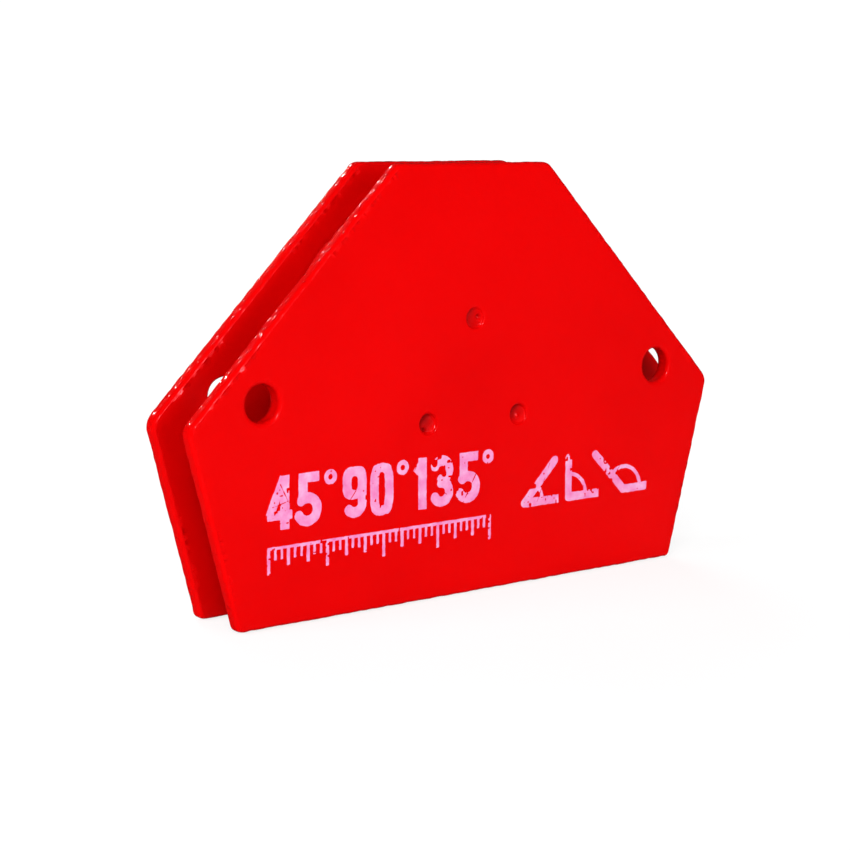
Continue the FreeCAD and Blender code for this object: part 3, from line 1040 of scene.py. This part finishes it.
def ferrite():
    """Sintered ferrite with red overspray on the outer rim."""
    m = Surface("sintered_ferrite")
    grain = m.noise(per_mm=3.5, detail=5.0, rough=0.65)
    blotch = m.noise(per_mm=0.22)
    base = m.ramp(grain, [(0.30, (0.020, 0.019, 0.020)), (0.60, (0.050, 0.048, 0.050)),
                          (0.80, (0.11, 0.105, 0.105))])
    base = m.mix(base, (0.032, 0.028, 0.026),
                 amount=m.remap(blotch, span=(0.4, 0.7), to=(0.0, 0.5)))

    # overspray: a ragged band near the rim, thin in places
    place = m.split(m.coord)
    radius = m.hypot(place["X"], m.calc("SUBTRACT", place["Z"], RING_Z * MM))
    ragged = m.calc("SUBTRACT", m.noise(per_mm=0.9, rough=0.6), 0.5)
    radius = m.calc("ADD", radius, m.calc("MULTIPLY", ragged, 0.0008))
    rim = m.remap(radius, span=((RING_R - 1.2) * MM, (RING_R - 0.45) * MM))
    thin = m.remap(m.noise(per_mm=0.7, detail=5.0, rough=0.7), span=(0.22, 0.34))
    paint = m.calc("MULTIPLY", rim, thin)
    base = m.mix(base, (0.62, 0.0010, 0.0012), amount=paint)

    rough = m.remap(grain, span=(0.3, 0.7), to=(0.62, 0.85))
    rough = m.calc("SUBTRACT", rough, m.calc("MULTIPLY", paint, 0.3))
    m.feed(m.bsdf, Base_Color=base, Roughness=rough, Specular_IOR_Level=0.35,
           Normal=m.bump(grain, distance_mm=0.04, strength=0.8))
    return m.material


def metal(name, dark, light, tarnish, per_mm, stretch, roughness):
    """Streaky drawn metal with tarnish; roughness: range across the stains."""
    m = Surface(name)
    streak = m.noise(per_mm=per_mm, detail=5.0, rough=0.6, stretch=stretch)
    stain = m.noise(per_mm=0.5, detail=4.0, rough=0.6)
    base = m.ramp(streak, [(0.3, dark), (0.7, light)])
    base = m.mix(base, tarnish, amount=m.remap(stain, span=(0.45, 0.75), to=(0.0, 0.7)))
    m.feed(m.bsdf, Base_Color=base, Metallic=1.0,
           Roughness=m.remap(stain, span=(0.3, 0.7), to=roughness),
           Normal=m.bump(streak, distance_mm=0.01, strength=0.7))
    return m


def tube_metal():
    return metal("drawn_tube", dark=(0.55, 0.55, 0.57), light=(0.82, 0.82, 0.84),
                 tarnish=(0.40, 0.40, 0.41), per_mm=2.5, stretch=(1.0, 0.06, 1.0),
                 roughness=(0.25, 0.45)).material


def rivet_brass():
    """Brass wire; the struck ends are under the red paint."""
    m = metal("brass_painted_ends", dark=(0.55, 0.36, 0.10), light=(0.80, 0.60, 0.24),
              tarnish=(0.30, 0.18, 0.06), per_mm=2.0, stretch=(1.0, 0.12, 1.0),
              roughness=(0.22, 0.45))
    red = m.add("ShaderNodeBsdfPrincipled")
    enamel(m, red)
    along = m.calc("ABSOLUTE", m.split(m.coord)["Y"])
    painted = m.remap(along, span=((FACE - 1.20) * MM, (FACE - 1.12) * MM))
    m.feed(m.out, Surface=m.mix_shaders(painted, m.bsdf.outputs[0], red.outputs[0]))
    return m.material


def print_ink():
    """Screen-printed marks in pale pink, with spots where the red shows through."""
    m = Surface("print_ink")
    thick = m.noise(per_mm=0.55, detail=4.0, rough=0.6)
    grain = m.noise(per_mm=4.0, rough=0.6)
    base = m.ramp(thick, [(0.28, (0.66, 0.15, 0.37)), (0.50, (0.69, 0.24, 0.47)),
                          (0.75, (0.71, 0.40, 0.60))])
    spots = m.remap(m.noise(per_mm=2.2, detail=5.0, rough=0.7), span=(0.64, 0.72))
    base = m.mix(base, (0.58, 0.015, 0.06), amount=m.calc("MULTIPLY", spots, 0.75))
    normal = m.bump(grain, distance_mm=0.008, strength=0.8)
    normal = m.bump(m.noise(per_mm=0.85, detail=2.0), distance_mm=0.020, strength=0.7,
                    normal=normal)
    m.feed(m.bsdf, Base_Color=base, Normal=normal, Specular_IOR_Level=0.25,
           Roughness=m.remap(grain, span=(0.3, 0.7), to=(0.45, 0.65)))
    return m.material


# --------------------------------------------------------------- build it all
paint = red_paint()
build_plate("side_plate_front", "front_plate", FRONT_SEED, paint)
build_plate("side_plate_rear", "rear_plate", REAR_SEED, paint)
build_ring(ferrite())
tube_material, rivet_material = tube_metal(), rivet_brass()
for k, spot in enumerate(RIVETS):
    build_spacer(spot, tube_material)
    build_rivet(spot, 71 + 13 * k, rivet_material)
build_print(print_ink())


# ------------------------------------------------------------------ the stage
# From here on lengths are in metres, apart from the camera's.
WHITE = (1, 1, 1, 1)
BACKDROP = 1.05                             # brightness of the white surroundings
FLOOR_HALF, FLOOR_Z = 3.0, -0.0001


def pale_floor():
    """Pale floor that the camera sees run out into white away from the object."""
    m = Surface("pale_floor")
    base = m.ramp(m.noise(per_mm=0.02), [(0.3, (0.88, 0.88, 0.88)), (0.7, (0.92, 0.92, 0.92))])
    m.feed(m.bsdf, Base_Color=base, Roughness=0.9, Specular_IOR_Level=0.0)
    length = m.add("ShaderNodeVectorMath", operation="LENGTH")
    m.link(m.coord, length.inputs[0])
    far = m.remap(length.outputs["Value"], span=(0.05, 0.14), to=(0.76, 1.0))
    seen = m.add("ShaderNodeLightPath").outputs["Is Camera Ray"]
    glow = m.add("ShaderNodeEmission")
    m.feed(glow, Strength=BACKDROP)
    mixed = m.mix_shaders(m.calc("MULTIPLY", far, seen), m.bsdf.outputs[0], glow.outputs[0])
    m.feed(m.out, Surface=mixed)
    return m.material


def build_floor():
    mesh = bpy.data.meshes.new("floor")
    corners = ((-1, -1), (1, -1), (1, 1), (-1, 1))
    mesh.from_pydata([(x * FLOOR_HALF, y * FLOOR_HALF, FLOOR_Z) for x, y in corners],
                     [], [(0, 1, 2, 3)])
    floor = link_object("floor", mesh)
    mesh.materials.append(pale_floor())
    floor.visible_glossy = False


def build_world():
    """White to the camera, soft light on surfaces, almost dark in reflections."""
    studio = bpy.data.worlds.new("studio")
    bpy.context.scene.world = studio
    w = NodeTree(studio)
    out = w.add("ShaderNodeOutputWorld")
    path = w.add("ShaderNodeLightPath").outputs

    def background(strength):
        node = w.add("ShaderNodeBackground")
        w.feed(node, Color=WHITE, Strength=strength)
        return node.outputs[0]

    seen, soft, dim = background(BACKDROP), background(0.16), background(0.02)
    unseen = w.mix_shaders(path["Is Glossy Ray"], soft, dim)
    w.feed(out, Surface=w.mix_shaders(path["Is Camera Ray"], unseen, seen))


# ------------------------------------------------------------------ the lights
LIT_POINT = Vector((0.0, 0.0, 0.031))
# name, direction from the lit point, distance, side of the square, power
SOFT_LAMPS = (      # light surfaces but don't show in reflections
    ("key", (-0.60, -0.60, 0.55), 0.8, 0.3, 4.4),
    ("left", (-1.0, -0.15, 0.20), 0.8, 0.5, 0.6),
    ("rim", (-0.80, 0.10, 0.40), 0.8, 0.4, 3.1),
    ("front", (0.04, -1.0, 0.11), 0.8, 0.5, 4.65),
    ("behind", (0.3, 1.0, 0.5), 0.8, 0.5, 4.5),
)
HIGHLIGHT_LAMPS = (  # only show as highlights: two from behind, one from the front
    ("sparkle_low", (-0.26, 0.824, 0.502), 3.0, 0.16, 15.0),
    ("sparkle_high", (0.085, 0.824, 0.559), 3.0, 0.16, 8.0),
    ("glint", (-0.24, -0.86, 0.45), 0.8, 0.07, 4.2),
)


def add_lamp(name, way, distance, size, power):
    """Square area light aimed at the lit point."""
    light = bpy.data.lights.new(name, "AREA")
    light.shape = "RECTANGLE"
    light.size = light.size_y = size
    light.energy = power
    light.spread = math.pi
    place = LIT_POINT + Vector(way).normalized() * distance
    lamp = link_object(name, light)
    lamp.location = place
    lamp.rotation_mode = "QUATERNION"
    lamp.rotation_quaternion = (LIT_POINT - place).to_track_quat("-Z", "Y")
    lamp.visible_camera = False
    return lamp


# ------------------------------------------------------------------ the camera
CAMERA_TURN = math.radians(-38.287)         # round z from straight in front, towards -x
CAMERA_RISE = math.radians(8.869)
CAMERA_ROLL = 0.0069                        # radians
CAMERA_AIM = Vector((-8.375, Y_OUT, 25.185))    # on the front plate's outer face, mm
CAMERA_DISTANCE = 280.557                   # mm
LENS, SENSOR_WIDTH = 84.416824, 36.0        # mm
SHIFT_X, SHIFT_Y = -0.0042129412, 0.0016435294


def build_camera():
    level = math.cos(CAMERA_RISE)
    back = Vector((math.sin(CAMERA_TURN) * level, -math.cos(CAMERA_TURN) * level,
                   math.sin(CAMERA_RISE)))
    right = Vector((math.cos(CAMERA_TURN), math.sin(CAMERA_TURN), 0.0))
    up = back.cross(right)
    cosine, sine = math.cos(CAMERA_ROLL), math.sin(CAMERA_ROLL)
    rolled_right = right * cosine + up * sine
    rolled_up = up * cosine - right * sine
    rotation = Matrix((rolled_right, rolled_up, back)).transposed()
    data = bpy.data.cameras.new("camera")
    camera = link_object("camera", data)
    place = CAMERA_AIM + back * CAMERA_DISTANCE
    camera.matrix_world = Matrix.Translation(place * MM) @ rotation.to_4x4()
    data.sensor_fit = "HORIZONTAL"
    data.sensor_width = SENSOR_WIDTH
    data.lens = LENS
    data.shift_x = SHIFT_X
    data.shift_y = SHIFT_Y
    data.clip_start = 0.01
    data.clip_end = 20.0
    bpy.context.scene.camera = camera


build_floor()
build_world()
for lamp_values in SOFT_LAMPS:
    add_lamp(*lamp_values).visible_glossy = False
for lamp_values in HIGHLIGHT_LAMPS:
    add_lamp(*lamp_values).visible_diffuse = False
build_camera()

view = bpy.context.scene.view_settings
view.view_transform = "Standard"
view.look = "None"
view.exposure = 0.0
view.gamma = 1.0

bpy.context.view_layer.update()
